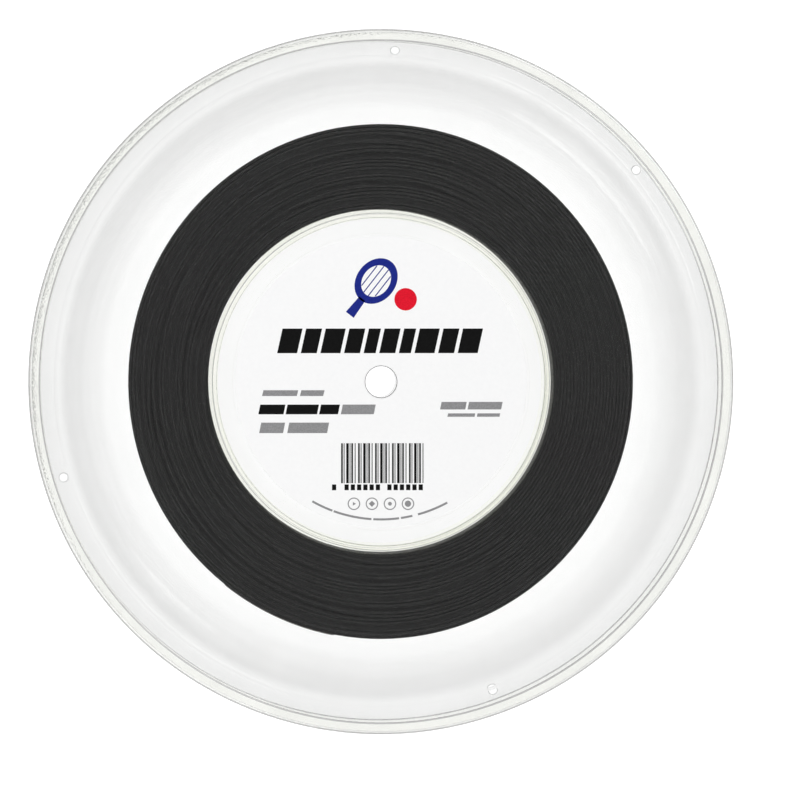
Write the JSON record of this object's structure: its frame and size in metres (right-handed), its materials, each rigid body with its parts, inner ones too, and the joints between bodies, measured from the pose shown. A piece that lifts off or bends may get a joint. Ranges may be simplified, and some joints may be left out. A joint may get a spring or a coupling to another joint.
{
  "type": "string reel",
  "caption": "Clear plastic reel wound with black racket string, with a round paper label on each hub and a centre hole for a stand's spindle.",
  "frame": {"origin": "centre of the rear rim face, on which the reel lies flat", "axes": "+Z along the turning axis, from the rear face to the front face; +Y is up on the front label, +X is its right"},
  "size_m": [0.27, 0.27, 0.032],
  "materials": {
    "clear_plastic": "clear moulded polystyrene, glossy, with a faint yellow green tint at its edges",
    "black_string": "black nylon monofilament with a thin wrap, satin",
    "label_paper": "white coated paper, printed",
    "clear_tape": "clear packing tape"
  },
  "bodies": {
    "root": {"front_flange": "clear_plastic", "rear_flange": "clear_plastic", "drum_tube": "clear_plastic", "string_winding": "black_string", "front_label": "label_paper", "rear_label": "label_paper", "string_start_tape": "clear_tape", "string_end_tape": "clear_tape"}
  },
  "joints": []
}
